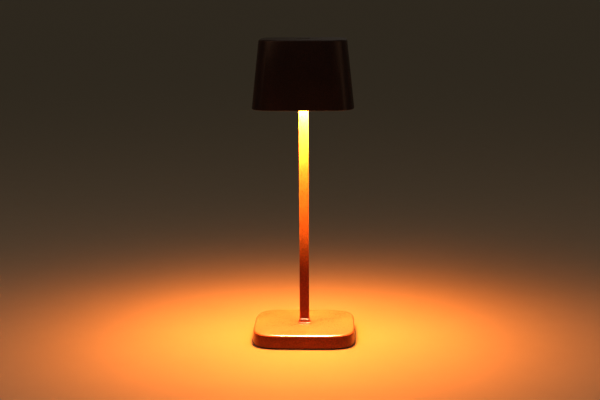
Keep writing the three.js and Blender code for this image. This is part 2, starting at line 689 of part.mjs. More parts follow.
function buttonHousing() {
  const flangeLow = wellFloor + GAP;
  const flangeRadius = wellRadius - GAP;
  const pocket = BUTTON_RADIUS + GAP;
  const bore = plungerRadius + GAP;
  return turned([
    [pocket, OVERALL_HEIGHT], [pocket, pocketFloor], [bore, pocketFloor], [bore, pocketUnder],
    [cavityRadius, pocketUnder], [cavityRadius, bodyLow], [bodyRadius, bodyLow],
    [bodyRadius, flangeLow], [flangeRadius, flangeLow], [flangeRadius, OVERALL_HEIGHT - 0.3],
    [flangeRadius - 0.3, OVERALL_HEIGHT], [pocket, OVERALL_HEIGHT],
  ], 2 * ROUND_STEPS);
}

function dimmerButton() {
  const edge = 0.4;
  return turned([
    [0, plungerLow], [plungerRadius, plungerLow], [lipRadius, lipTop - 0.6], [lipRadius, lipTop],
    [plungerRadius, lipTop], [plungerRadius, capLow], [BUTTON_RADIUS, capLow],
    [BUTTON_RADIUS, capTop - edge], [BUTTON_RADIUS - edge, capTop], [0, capTop - 0.3],
  ], 2 * ROUND_STEPS);
}

const buttonNutTop = bridgeLow - GAP;
add('button_housing', buttonHousing(), shadePaint);
add('button_nut', hexNut(2 * bodyRadius + 5, bodyHole, buttonNutTop - 3, buttonNutTop), bareSteel);
add('dimmer_button', dimmerButton(), shadePaint);
add('switch_board', disc(cavityRadius - GAP, switchBoardLow, switchBoardTop), boardGreen);
add('tact_switch', box(5, 5, switchBoardTop + SEAT, switchTop), blackPlastic);
const downToDish = (share) => THREE.MathUtils.lerp(bodyLow, dishTop, share);
add('switch_lead', lead([
  [0, -3, switchBoardLow - SEAT],
  [0, -3, downToDish(0.12)],
  [0, -8, downToDish(0.45)],
  [0, 1 - leadHoleY, downToDish(0.75)],
  [0, -leadHoleY, downToDish(0.93)],
  [0, -leadHoleY, ledBoardTop + SEAT],
], THIN_LEAD_RADIUS), cableGrey);

export default lamp;
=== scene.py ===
# %% [markdown]
# # A cordless table lamp
#
# The lamp has three things to look at: a rounded-square base, a slim square stem and a tapered square
# shade. Its battery is in the base, its light hangs in the shade and shines down, and one push button on
# top dims it. The lamp is lit, so most of what the eye sees is its own warm light on its own paint.
#
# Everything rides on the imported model, which fixes each piece's place. It is loaded first and never
# moved.

import math

import bmesh
import bpy
from mathutils import Matrix, Vector


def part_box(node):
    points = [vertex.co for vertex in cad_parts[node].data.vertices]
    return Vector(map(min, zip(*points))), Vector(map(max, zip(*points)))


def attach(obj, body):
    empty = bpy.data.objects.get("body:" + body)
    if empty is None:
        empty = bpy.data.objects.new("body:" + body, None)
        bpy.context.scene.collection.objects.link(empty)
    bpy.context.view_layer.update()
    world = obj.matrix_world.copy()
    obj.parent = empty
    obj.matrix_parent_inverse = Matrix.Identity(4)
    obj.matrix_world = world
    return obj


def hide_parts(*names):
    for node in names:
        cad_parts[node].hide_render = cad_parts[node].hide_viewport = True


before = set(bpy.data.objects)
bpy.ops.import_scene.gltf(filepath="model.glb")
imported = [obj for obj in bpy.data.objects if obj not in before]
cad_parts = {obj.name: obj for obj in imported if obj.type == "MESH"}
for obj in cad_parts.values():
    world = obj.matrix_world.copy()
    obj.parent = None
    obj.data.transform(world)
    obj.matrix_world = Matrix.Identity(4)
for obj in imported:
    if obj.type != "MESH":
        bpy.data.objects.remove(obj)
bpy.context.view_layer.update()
MM = 0.001

# %% [markdown]
# ## The camera
#
# A small lamp on a table is seen from a seated person's eye, a little above the shade. A long lens from
# more than a metre away keeps the stem's sides parallel. The lamp is turned a touch from square, and the
# camera leans a touch, as a hand-held one does. Shift and depth of field stay off.

# %% Camera
CAMERA_PLACE = Vector((42.1, -1265.5, 363.6)) * MM
CAMERA_TURN = math.radians(2.1)
CAMERA_TILT = math.radians(90 - 9.59)
CAMERA_LEAN = math.radians(-0.28)
LENS_MM = 72


def make_camera():
    """A camera that looks along its own -Z, turned about the vertical last."""
    data = bpy.data.cameras.new("camera")
    data.sensor_width = 36
    data.lens = LENS_MM
    camera = bpy.data.objects.new("camera", data)
    bpy.context.scene.collection.objects.link(camera)
    turn = Matrix.Rotation(CAMERA_TURN, 4, "Z")
    tilt = Matrix.Rotation(CAMERA_TILT, 4, "X")
    lean = Matrix.Rotation(CAMERA_LEAN, 4, "Z")
    camera.matrix_world = Matrix.Translation(CAMERA_PLACE) @ turn @ tilt @ lean
    bpy.context.scene.camera = camera
    return camera


camera = make_camera()
print("camera at", [round(number, 4) for number in camera.location], "lens", LENS_MM)

# %% [markdown]
# ## Sections and lofts
#
# Nearly every piece of this lamp is one closed outline that changes size as it rises: a rounded square
# for the base and shade, a square with round corners for the stem, a circle for the button. A lathe can't
# turn a square, so the loft here does a lathe's work: it starts from a circle of edges, extrudes them
# level by level, and after each extrusion moves every vertex onto the level's section. Each vertex
# remembers its direction from the axis in a layer that the extrusion copies, so the rings stay in step
# and a square can run smoothly into a round hole.

# %% Sections
SQUARENESS = 4.8


def squircle(half):
    """A rounded square, half its width across the flats."""
    def place(way):
        reach = (abs(way.x) ** SQUARENESS + abs(way.y) ** SQUARENESS) ** (-1 / SQUARENESS)
        return way * half * reach
    return place


def circle(radius):
    return lambda way: way * radius


def rounded(width, depth, radius):
    """A rectangle with round corners: the quarters of a circle pushed apart."""
    def place(way):
        x = math.copysign(width / 2 - radius, way.x) + radius * way.x
        y = math.copysign(depth / 2 - radius, way.y) + radius * way.y
        return Vector((x, y))
    return place


# %% [markdown]
# A quarter-round along an edge is a run of levels. The arc gives its points as pairs of distance from the
# axis and height, so that an edge with a real radius catches the light as a real one does.

# %% Arcs
def arc(centre, radius, start, end, steps=6):
    """Points from angle start to angle end, in degrees, about a centre (out, up)."""
    points = []
    for step in range(steps + 1):
        angle = math.radians(start + (end - start) * step / steps)
        points.append((centre[0] + radius * math.cos(angle), centre[1] + radius * math.sin(angle)))
    return points


print("a quarter round has", len(arc((0, 0), 1, 0, 90)), "levels")


# %% Loft
def loft(levels, steps):
    """A closed mesh through (section, height) levels. One that returns to its start closes into a ring."""
    bm = bmesh.new()
    way = bm.verts.layers.float_vector.new("way")
    ring = bmesh.ops.create_circle(bm, segments=steps, radius=1)["verts"]
    bmesh.ops.rotate(bm, verts=ring, matrix=Matrix.Rotation(math.pi / steps, 3, "Z"))
    for vert in ring:
        vert[way] = vert.co
    for number, (section, height) in enumerate(levels):
        if number:
            edges = [edge for edge in bm.edges if edge.select]
            made = bmesh.ops.extrude_edge_only(bm, edges=edges)["geom"]
            ring = [item for item in made if isinstance(item, bmesh.types.BMVert)]
        for edge in bm.edges:
            edge.select = False
        held = set(ring)
        for vert in ring:
            spot = section(Vector(vert[way][:2]))
            vert.co = (spot.x, spot.y, height)
            for edge in vert.link_edges:
                if edge.other_vert(vert) in held:
                    edge.select = True
    bmesh.ops.remove_doubles(bm, verts=bm.verts, dist=1e-7)
    bmesh.ops.dissolve_degenerate(bm, edges=bm.edges, dist=1e-8)
    bmesh.ops.recalc_face_normals(bm, faces=bm.faces)
    bm.verts.layers.float_vector.remove(bm.verts.layers.float_vector["way"])
    return bm


# %% [markdown]
# A finished bmesh becomes an object that rides on one body of the lamp, takes the finish it is given,
# and stands for one CAD node, which is then hidden. Shading is smooth except across real corners.

# %% Make a piece
SHARP = math.radians(35)


def placed(name, bm):
    """Links a bmesh into the scene as an object at the origin."""
    mesh = bpy.data.meshes.new(name)
    bm.to_mesh(mesh)
    bm.free()
    made = bpy.data.objects.new(name, mesh)
    bpy.context.scene.collection.objects.link(made)
    return made


def smooth(mesh):
    mesh.shade_smooth()
    mesh.set_sharp_from_angle(angle=SHARP)


def piece(name, bm, material, node, body="lamp"):
    """Turns a bmesh in metres into a piece of the lamp."""
    made = placed(name, bm)
    smooth(made.data)
    made.data.materials.append(material)
    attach(made, body)
    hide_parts(node)
    print(name, "has", len(made.data.polygons), "faces")
    return made


# %% [markdown]
# Holes, posts and recesses are cut or joined with an exact Boolean, as a drill or a mould core would do
# it. The modifier is worked out and its result kept, so no cutter stays in the scene.

# %% Cut and join
def carve(made, holes=(), posts=()):
    """Joins each post to a piece, cuts each hole out of it, and keeps the result as its mesh."""
    work = [("UNION", bm) for bm in posts] + [("DIFFERENCE", bm) for bm in holes]
    tools = []
    for number, (operation, bm) in enumerate(work):
        tool = placed("tool", bm)
        tools.append(tool)
        step = made.modifiers.new(f"step_{number}", "BOOLEAN")
        step.operation = operation
        step.solver = "EXACT"
        step.object = tool
    ready = made.evaluated_get(bpy.context.evaluated_depsgraph_get())
    made.data = bpy.data.meshes.new_from_object(ready)
    made.modifiers.clear()
    for tool in tools:
        bpy.data.meshes.remove(tool.data)
    smooth(made.data)
    print(made.name, "after cutting has", len(made.data.polygons), "faces")
    return made


def block(section, low, high, steps, x=0.0, y=0.0):
    """A plain closed tool between two heights, moved to its place."""
    bm = loft([(circle(0), low), (section, low), (section, high), (circle(0), high)], steps)
    bmesh.ops.translate(bm, verts=bm.verts, vec=(x, y, 0))
    return bm


# %% [markdown]
# ## Shader maths
#
# A finish is a network of nodes, and most of it is sums. Written as Python, `1 - mask * 0.3` says more
# than three nodes do, so a socket is wrapped in a small class whose operators add the Math nodes. Colours
# never go through it, because a Math node turns a colour grey: they are mixed by a Mix node.

# %% Sums on sockets
class Value:
    """A number that varies over a surface."""

    def __init__(self, tree, socket):
        self.tree = tree
        self.socket = socket

    def math(self, operation, *others):
        """Adds a Math node whose first socket is fed by this value."""
        inputs = dict(enumerate((self, *others)))
        return add_node(self.tree, "ShaderNodeMath", {"operation": operation}, inputs)

    def __add__(self, other):
        return self.math("ADD", other)

    def __sub__(self, other):
        return self.math("SUBTRACT", other)

    def __rsub__(self, other):
        return self.math("MULTIPLY_ADD", -1.0, other)

    def __mul__(self, other):
        return self.math("MULTIPLY", other)

    def __pow__(self, other):
        return self.math("POWER", other)

    __radd__ = __add__
    __rmul__ = __mul__

    def between(self, low, high):
        """0 at low, 1 at high, and smooth between."""
        settings = {"interpolation_type": "SMOOTHSTEP"}
        inputs = {"Value": self, "From Min": low, "From Max": high}
        return add_node(self.tree, "ShaderNodeMapRange", settings, inputs, "Result")


def feed(tree, socket, item):
    """Links a value to a socket, or sets a plain number, vector or colour on it."""
    if isinstance(item, Value):
        tree.links.new(item.socket, socket)
    elif isinstance(item, tuple) and len(item) == 3 and socket.type == "RGBA":
        socket.default_value = (*item, 1)
    else:
        socket.default_value = item


def add_node(tree, kind, settings, inputs, output=0):
    """Adds any node: its settings first, then what its sockets hold or read."""
    node = tree.nodes.new(kind)
    for setting, item in settings.items():
        setattr(node, setting, item)
    for socket, item in inputs.items():
        feed(tree, node.inputs[socket], item)
    return Value(tree, node.outputs[output])


# %% [markdown]
# A finish starts from one shader and the place on the piece in Object coordinates, which is metres from
# the piece's origin. A pattern's size is then a real size, the same on every piece.

# %% Finishes
class Finish:
    """A material built round one Principled shader. What is the same all over is set on the shader itself."""

    def __init__(self, name, plain):
        self.material = bpy.data.materials.new(name)
        self.material.use_nodes = True
        self.tree = self.material.node_tree
        self.shader = self.tree.nodes["Principled BSDF"]
        for socket, item in plain.items():
            feed(self.tree, self.shader.inputs[socket], item)
        self.place = self.node("ShaderNodeTexCoord", {}, {}, "Object")

    def node(self, kind, settings, inputs, output=0):
        return add_node(self.tree, kind, settings, inputs, output)

    def vary(self, **sockets):
        """Feeds the shader what changes over the surface."""
        for name, item in sockets.items():
            feed(self.tree, self.shader.inputs[name.replace("_", " ").title()], item)

    def noise(self, size, detail=2.0, place=None, rough=0.5):
        """Soft random spots about size metres across, from 0 to 1."""
        inputs = {"Vector": place or self.place, "Scale": 1 / size, "Detail": detail, "Roughness": rough}
        return self.node("ShaderNodeTexNoise", {}, inputs)

    def cells(self, size):
        """The distance to the nearest of many scattered points, in shares of size."""
        inputs = {"Vector": self.place, "Scale": 1 / size}
        return self.node("ShaderNodeTexVoronoi", {"feature": "F1"}, inputs, "Distance")

    def stretched(self, x, y, z):
        """The place on the piece, with each axis scaled."""
        return self.node("ShaderNodeMapping", {}, {"Vector": self.place, "Scale": (x, y, z)})

    def axes(self):
        """The place on the piece as three values."""
        split = self.node("ShaderNodeSeparateXYZ", {}, {"Vector": self.place})
        return [Value(self.tree, socket) for socket in split.socket.node.outputs]

    def mix(self, share, first, second):
        """A colour between two colours. Sockets 6 and 7 and output 2 are the Mix node's colours."""
        inputs = {"Factor": share, 6: first, 7: second}
        return self.node("ShaderNodeMix", {"data_type": "RGBA"}, inputs, 2)

    def bump(self, height, depth, strength=1.0):
        """Feeds the shader's normal: height runs from 0 to 1, over depth metres."""
        inputs = {"Height": height, "Distance": depth, "Strength": strength}
        feed(self.tree, self.shader.inputs["Normal"], self.node("ShaderNodeBump", {}, inputs, "Normal"))


def shade_of(colour, share):
    """A darker or lighter version of a colour."""
    return tuple(min(1, part * share) for part in colour)


# %% [markdown]
# ## Paint
#
# The lamp is powder coated. Powder melts into a skin with a fine grain like orange peel, and it dries
# satin, so a highlight is soft but there. The base and stem are a dark rust brown, and the shade is a
# brown so dark that it reads as black. Layers of noise make it: two fine grains for the bump, a mottle
# and specks for the colour, and wide faint clouds that keep a large flat face from looking printed.

# %% Powder coat
RUST = (0.235, 0.040, 0.0085)
UMBER = (0.038, 0.0175, 0.0135)
GRAIN_DEPTH = 0.18 * MM


def powder_coat(name, colour, speck_share, rough):
    paint = Finish(name, {"Metallic": 0.0, "Specular IOR Level": 0.5})
    grain = paint.noise(0.9 * MM, 3.0)
    fine = paint.noise(0.4 * MM, 2.0)
    mottle = paint.noise(1.3 * MM, 2.0)
    clouds = paint.noise(24 * MM, 2.0)
    specks = paint.cells(1.1 * MM).between(0.34, 0.10)
    tone = paint.mix(clouds.between(0.3, 0.7), shade_of(colour, 0.88), shade_of(colour, 1.12))
    tone = paint.mix(mottle.between(0.38, 0.62) * 0.8, tone, shade_of(colour, 0.55))
    tone = paint.mix(specks * speck_share, tone, shade_of(colour, 2.0))
    paint.vary(base_color=tone, roughness=rough + (grain - 0.5) * 0.22 + clouds * 0.05)
    paint.bump(grain * 0.65 + fine * 0.35, GRAIN_DEPTH, 0.9)
    return paint.material


rust_paint = powder_coat("rust_powder_coat", RUST, 0.40, 0.28)
umber_paint = powder_coat("umber_powder_coat", UMBER, 0.45, 0.36)
print("paints:", rust_paint.name, umber_paint.name)

# %% [markdown]
# ## Metals
#
# Zinc plating is a thin bright skin with faint clouds and hairline rub marks. Brass from a lathe has
# rings, which a sine of the height gives; the button is faced on a lathe, so its rings follow the
# distance from its middle. The cast dish is blasted, so it has a fine, even sparkle. The socket's shell
# is bright steel, and its tongue carries a row of gilt contacts, which a stripe along its width gives.

# %% Steel, brass, aluminium
def plated(name, colour, rough, streak):
    metal = Finish(name, {"Metallic": 1.0})
    clouds = metal.noise(4 * MM, 3.0)
    rubs = metal.noise(0.6 * MM, 2.0, place=metal.stretched(1, 1, streak))
    tone = metal.mix(clouds, shade_of(colour, 0.82), shade_of(colour, 1.1))
    metal.vary(base_color=metal.mix(rubs.between(0.45, 0.75) * 0.4, tone, shade_of(colour, 0.7)))
    metal.vary(roughness=rough + (rubs - 0.5) * 0.2 + (clouds - 0.5) * 0.12)
    metal.bump(rubs, 0.02 * MM, 0.4)
    return metal


zinc_steel = plated("zinc_plated_steel", (0.56, 0.57, 0.58), 0.34, 12).material
cast_aluminium = plated("blasted_aluminium", (0.70, 0.70, 0.69), 0.46, 1).material


def waves(distance, per_metre):
    """Rises and falls between 0 and 1 along a distance, turning so many radians in a metre."""
    return (distance * per_metre).math("SINE") * 0.5 + 0.5


TURNING_MARKS = 9000
FACING_MARKS = 22000


def ringed(name, colour):
    metal = Finish(name, {"Metallic": 1.0})
    height = metal.axes()[2]
    rings = waves(height, TURNING_MARKS)
    stain = metal.noise(3 * MM, 3.0)
    metal.vary(base_color=metal.mix(stain.between(0.35, 0.8), colour, shade_of(colour, 0.6)))
    metal.vary(roughness=0.22 + rings * 0.12 + stain * 0.15)
    metal.bump(rings, 0.03 * MM, 0.5)
    return metal.material


turned_brass = ringed("turned_brass", (0.72, 0.50, 0.20))

BLACK_INSULATOR = (0.012, 0.012, 0.013)
GILT = (0.86, 0.60, 0.24)
BRIGHT_STEEL = (0.62, 0.62, 0.63)
TONGUE_HEIGHT = 7.2 * MM
CONTACT_PITCH = 1 * MM


def gilt_socket():
    metal = plated("socket_steel", (0.66, 0.66, 0.67), 0.24, 6)
    across, _, height = metal.axes()
    tongue = (height - TONGUE_HEIGHT).math("ABSOLUTE").between(0.5 * MM, 0.4 * MM)
    contact = (across * (2 * math.pi / CONTACT_PITCH)).math("SINE").between(-0.2, 0.2)
    tongue_tone = metal.mix(contact, BLACK_INSULATOR, GILT)
    metal.vary(base_color=metal.mix(tongue, BRIGHT_STEEL, tongue_tone))
    metal.vary(metallic=1 - tongue * (1 - contact))
    return metal.material


socket_steel = gilt_socket()


def turned_button():
    """Dark anodised aluminium with the fine rings that facing it on a lathe leaves."""
    metal = Finish("turned_button", {"Metallic": 0.85})
    x, y, _ = metal.axes()
    rings = waves((x * x + y * y) ** 0.5, FACING_MARKS)
    wear = metal.noise(2.5 * MM, 3.0)
    metal.vary(base_color=metal.mix(wear.between(0.3, 0.7), (0.050, 0.034, 0.026), (0.072, 0.050, 0.038)))
    metal.vary(roughness=0.26 + rings * 0.08 + wear * 0.14)
    metal.bump(rings, 0.02 * MM, 0.5)
    return metal.material


button_metal = turned_button()
metals = (zinc_steel, turned_brass, cast_aluminium, socket_steel, button_metal)
print("metals:", *(metal.name for metal in metals))

# %% [markdown]
# ## Plastics and rubber
#
# Moulded plastic copies the sparked skin of its mould: tiny pits, evenly spread. Rubber is duller and
# picks up dust, which shows as pale flecks. The clear rod is smooth, with a faint cloud in it.

# %% Plastics and rubber
def moulded(name, colour, rough, grain, depth):
    skin = Finish(name, {"Specular IOR Level": 0.45})
    pits = skin.cells(grain)
    clouds = skin.noise(12 * MM, 2.0)
    tone = skin.mix(clouds, shade_of(colour, 0.85), shade_of(colour, 1.15))
    skin.vary(base_color=skin.mix(pits.between(0.5, 0.1) * 0.3, tone, shade_of(colour, 1.5)))
    skin.vary(roughness=rough + (pits - 0.4) * 0.2 + (clouds - 0.5) * 0.08)
    skin.bump(pits, depth, 0.7)
    return skin.material


def dusty_rubber(name, colour):
    skin = Finish(name, {"Specular IOR Level": 0.3})
    grain = skin.noise(0.5 * MM, 3.0)
    dust = skin.noise(6 * MM, 4.0, rough=0.65)
    flecks = skin.noise(0.9 * MM, 1.0).between(0.66, 0.76)
    tone = skin.mix(dust.between(0.45, 0.75) * 0.3, colour, (0.045, 0.042, 0.038))
    skin.vary(base_color=skin.mix(flecks * 0.25, tone, (0.09, 0.085, 0.08)))
    skin.vary(roughness=0.72 + dust * 0.18)
    skin.bump(grain, 0.08 * MM, 0.6)
    return skin.material


black_plastic = moulded("black_moulded_plastic", (0.020, 0.0200, 0.0205), 0.44, 0.6 * MM, 0.05 * MM)
white_nylon = moulded("white_nylon", (0.72, 0.70, 0.64), 0.5, 0.5 * MM, 0.03 * MM)
clear_plastic = moulded("clear_rod", (0.62, 0.68, 0.70), 0.12, 3 * MM, 0.01 * MM)
rubber = dusty_rubber("soft_rubber", (0.016, 0.0155, 0.015))
print("plastics:", black_plastic.name, white_nylon.name, clear_plastic.name, rubber.name)

# %% [markdown]
# ## Boards, battery and leads
#
# A printed board shows copper tracks as a slightly paler green under its mask, with small tinned dots.
# The light board is white and matt so that it throws light down. The battery is wrapped in shrunk film,
# which puckers. A lead's sheath is satin and a little mottled, and the coil is wound wire on dark
# ferrite.

# %% Boards
PATCHES_PER_METRE = 320.0


def printed_board(name, mask, track, dot):
    board = Finish(name, {"Specular IOR Level": 0.5})
    patches = {"feature": "DISTANCE_TO_EDGE", "distance": "MANHATTAN"}
    inputs = {"Vector": board.place, "Scale": PATCHES_PER_METRE, "Randomness": 0.7}
    tracks = board.node("ShaderNodeTexVoronoi", patches, inputs).between(0.05, 0.09)
    dots = board.cells(2.2 * MM).between(0.16, 0.12)
    tone = board.mix(tracks, mask, track)
    board.vary(base_color=board.mix(dots, tone, dot), metallic=dots * 0.8)
    board.vary(roughness=0.38 + board.noise(3 * MM, 2.0) * 0.12)
    board.bump(tracks, 0.03 * MM, 0.5)
    return board.material


TIN = (0.62, 0.60, 0.56)
GILT_PAD = (0.60, 0.55, 0.42)
green_board = printed_board("green_board", (0.010, 0.075, 0.032), (0.020, 0.125, 0.055), TIN)
white_board = printed_board("white_light_board", (0.78, 0.78, 0.75), (0.84, 0.84, 0.81), GILT_PAD)


# %% Battery wrap, phosphor, coil and sheath
def shrink_film():
    film = Finish("battery_film", {"Specular IOR Level": 0.6})
    pucker = film.noise(4 * MM, 3.0, place=film.stretched(0.35, 1, 1))
    film.vary(base_color=film.mix(pucker.between(0.3, 0.7), (0.020, 0.085, 0.190), (0.032, 0.120, 0.255)))
    film.vary(roughness=0.26 + pucker * 0.14)
    film.bump(pucker, 0.25 * MM, 0.6)
    return film.material


def glowing_phosphor():
    gel = Finish("warm_phosphor", {"Emission Strength": 4.0})
    cloud = gel.noise(1.2 * MM, 2.0)
    tone = gel.mix(cloud, (0.80, 0.46, 0.09), (0.86, 0.56, 0.14))
    gel.vary(base_color=tone, emission_color=tone, roughness=0.35 + cloud * 0.1)
    return gel.material


def satin_sheath():
    sheath = Finish("lead_sheath", {"Specular IOR Level": 0.4})
    mottle = sheath.noise(1.6 * MM, 3.0)
    sheath.vary(base_color=sheath.mix(mottle, (0.030, 0.030, 0.032), (0.048, 0.047, 0.046)))
    sheath.vary(roughness=0.48 + mottle * 0.16)
    sheath.bump(mottle, 0.04 * MM, 0.5)
    return sheath.material


battery_wrap = shrink_film()
warm_phosphor = glowing_phosphor()
wound_coil = ringed("wound_coil", (0.20, 0.085, 0.035))
lead_sheath = satin_sheath()
inside = (green_board, white_board, battery_wrap, warm_phosphor, wound_coil, lead_sheath)
print("inside finishes:", *(finish.name for finish in inside))


# %% [markdown]
# The opal's face glows all over, a little brighter under each of the eight chips on the board above it.
# The eight bright spots come from one sum: the angle about the stem is folded into one eighth of a turn,
# so one distance serves all eight.

# %% Opal
GLOW_COLOUR = (1.0, 0.60, 0.26)
CHIP_RING = 24 * MM
CHIP_GLOW = 11 * MM


def glowing_opal():
    opal = Finish("glowing_opal", {"Specular IOR Level": 0.5, "Emission Strength": 1.2})
    x, y, _ = opal.axes()
    out = (x * x + y * y) ** 0.5
    eighth = math.pi / 4
    turn = y.math("ARCTAN2", x).math("FLOORED_MODULO", eighth) - eighth / 2
    gap = (out * out + CHIP_RING ** 2 - out * turn.math("COSINE") * (2 * CHIP_RING)) ** 0.5
    hot = gap.between(CHIP_GLOW, 0.0)
    edge = out.between(46 * MM, 36 * MM)
    milk = opal.noise(4 * MM, 2.0)
    opal.vary(base_color=opal.mix(milk, (0.80, 0.74, 0.64), (0.86, 0.80, 0.70)))
    opal.vary(roughness=0.38 + milk * 0.10)
    dim = opal.mix(edge, shade_of(GLOW_COLOUR, 0.45), shade_of(GLOW_COLOUR, 0.62))
    opal.vary(emission_color=opal.mix(hot, dim, GLOW_COLOUR))
    return opal.material


opal = glowing_opal()
print("opal:", opal.name)

# %% [markdown]
# ## The base
#
# The housing is a casting: a drafted wall, a generous round along its top edge that catches the lamp's
# light as one bright line, and a flat roof with a hole under the stem. A flat face beside a round needs
# one extra ring close to the edge, or the smooth shading bends across the whole face. Four hollow posts
# inside take the case screws.

# %% Base sizes from the frame
OUTLINE_STEPS = 160
ROUND_STEPS = 64
base_low, base_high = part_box("base_housing")
plate_low, plate_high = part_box("base_plate")
BASE_HALF = base_high.x
BASE_TOP = base_high.z
BASE_FOOT = base_low.z
BASE_WALL = 1.6 * MM
BASE_EDGE = 2.4 * MM
BASE_DRAFT = math.radians(3)
ROOF = BASE_TOP - BASE_WALL
NIPPLE_HOLE = circle(3.3 * MM)


def base_half(height):
    """Half the base's width at a height."""
    return BASE_HALF - (height - BASE_FOOT) * math.tan(BASE_DRAFT)


def middle(node):
    low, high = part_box(node)
    return (low + high) / 2


def numbered(name, count):
    return [f"{name}_{number}" for number in range(1, count + 1)]


case_screws = numbered("base_screw", 4)
screw_places = [middle(node) for node in case_screws]
print("base", round(2 * BASE_HALF / MM, 1), "mm wide and", round(BASE_TOP / MM, 1), "mm high")


# %% Base housing
def base_housing():
    hem = 0.35 * MM
    seat = circle(9 * MM)
    round_low = BASE_TOP - BASE_EDGE
    round_out = base_half(round_low) - BASE_EDGE
    lean = math.degrees(BASE_DRAFT)
    profile = arc((BASE_HALF - hem, BASE_FOOT + hem), hem, -90, lean, 4)
    profile += arc((round_out, round_low), BASE_EDGE, lean, 90, 12)
    levels = [(squircle(out), height) for out, height in profile]
    levels += [(squircle(round_out - step * MM), BASE_TOP) for step in (0.6, 2.5, 12, 30)]
    levels += [(seat, BASE_TOP), (NIPPLE_HOLE, BASE_TOP), (NIPPLE_HOLE, ROOF)]
    inner = [(base_half(ROOF) - BASE_WALL, ROOF), (BASE_HALF - BASE_WALL, BASE_FOOT)]
    levels += [(squircle(out), height) for out, height in inner]
    levels.append(levels[0])
    return loft(levels, OUTLINE_STEPS)


housing = piece("housing", base_housing(), rust_paint, "base_housing")

# %% [markdown]
# The back of the housing has a window for the charging port and a small round hole for the charging
# light. They are cut through the wall, so the opening has real thickness. A loft rises along Z, so one
# that should run towards the back is turned once it is made.

# %% Port window and light hole
port = middle("port_bezel")
WINDOW = rounded(19 * MM, 6.4 * MM, 1.5 * MM)
LENS_HOLE = circle(1.2 * MM)
THROUGH_WALL = (46 * MM, 60 * MM)
POST = circle(3.5 * MM)
PILOT = circle(1.8 * MM)


def facing_back(bm, x=0.0):
    """Turns a loft that rises along Z so that it runs along +Y at the port's height."""
    bmesh.ops.rotate(bm, verts=bm.verts, matrix=Matrix.Rotation(math.radians(-90), 3, "X"))
    bmesh.ops.translate(bm, verts=bm.verts, vec=(x, 0, port.z))
    return bm


port_window = facing_back(block(WINDOW, *THROUGH_WALL, ROUND_STEPS))
light_hole = facing_back(block(LENS_HOLE, *THROUGH_WALL, 32), middle("charge_lens").x)
screw_posts = [block(POST, 4 * MM, ROOF + BASE_WALL / 2, 40, at.x, at.y) for at in screw_places]
pilots = [block(PILOT, 0, ROOF - 1 * MM, 32, at.x, at.y) for at in screw_places]
carve(housing, [port_window, light_hole, *pilots], screw_posts)

# %% [markdown]
# ## Underneath
#
# A moulded plate closes the base. It is held by four screws, and a soft pad under it keeps the lamp off
# the table and from sliding. The pad's underside has two shallow grooves all round and sits a little
# hollow in the middle, so that it stands on its rim. From the front the pad shows only as a dark gap
# under the housing.

# %% Base plate
board_screws = [middle(node) for node in numbered("board_screw", 2)]
FIT_GAP = 0.3 * MM
BOSS_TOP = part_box("charge_board")[0].z - FIT_GAP
COUNTERBORE_TOP = 2.9 * MM
INNER_RING = squircle(30 * MM)


def base_plate():
    half = plate_high.x
    edge = 0.3 * MM
    profile = [(half - edge, plate_low.z), (half, plate_low.z + edge)]
    profile += [(half, plate_high.z - edge), (half - edge, plate_high.z)]
    levels = [(circle(0), plate_low.z), (INNER_RING, plate_low.z)]
    levels += [(squircle(out), height) for out, height in profile]
    levels += [(INNER_RING, plate_high.z), (circle(0), plate_high.z)]
    return loft(levels, OUTLINE_STEPS)


plate = piece("bottom_plate", base_plate(), black_plastic, "base_plate")
bosses = [block(circle(2.5 * MM), 3 * MM, BOSS_TOP, 32, at.x, at.y) for at in board_screws]
blind = [block(circle(1.3 * MM), 2.7 * MM, 7 * MM, 24, at.x, at.y) for at in board_screws]
holes = [block(circle(1.8 * MM), 0, 5 * MM, 32, at.x, at.y) for at in screw_places]
holes += [block(circle(3.1 * MM), 0, COUNTERBORE_TOP, 40, at.x, at.y) for at in screw_places]
carve(plate, blind + holes, bosses)


# %% Foot pad
def foot_pad():
    low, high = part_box("foot_pad")
    half = high.x
    edge = 0.5 * MM
    groove = 0.4 * MM
    hollow = 0.25 * MM
    levels = [(circle(0), hollow), (circle(20 * MM), hollow), (squircle(27 * MM), 0)]
    for out in (43.6 * MM, 46 * MM):
        levels += [(squircle(out), 0), (squircle(out + groove), groove)]
        levels += [(squircle(out + 2 * groove), groove), (squircle(out + 3 * groove), 0)]
    levels += [(squircle(out), height) for out, height in arc((half - edge, edge), edge, -90, 0, 5)]
    levels += [(squircle(half - 0.1 * MM), high.z), (INNER_RING, high.z), (circle(0), high.z)]
    return loft(levels, OUTLINE_STEPS)


pad = piece("foot_pad_soft", foot_pad(), rubber, "foot_pad")
carve(pad, [block(circle(3.4 * MM), -1 * MM, 3 * MM, 40, at.x, at.y) for at in screw_places])

# %% [markdown]
# Each case screw is turned, then threaded, then stamped with a cross. The thread is a stack of ridges
# rather than a true helix, which nobody can tell inside a post. The head sits in its counterbore, just
# above the pad.

# %% Case screws
HEAD_RADIUS = 2.8 * MM
SHANK_RADIUS = 1.5 * MM
THREAD_PITCH = 0.5 * MM
THREAD_DEPTH = 0.28 * MM
CROSS_ARM = rounded(3.0 * MM, 0.75 * MM, 0.2 * MM)
CROSS_DEPTH = 0.75 * MM
QUARTER_TURN = math.radians(90)


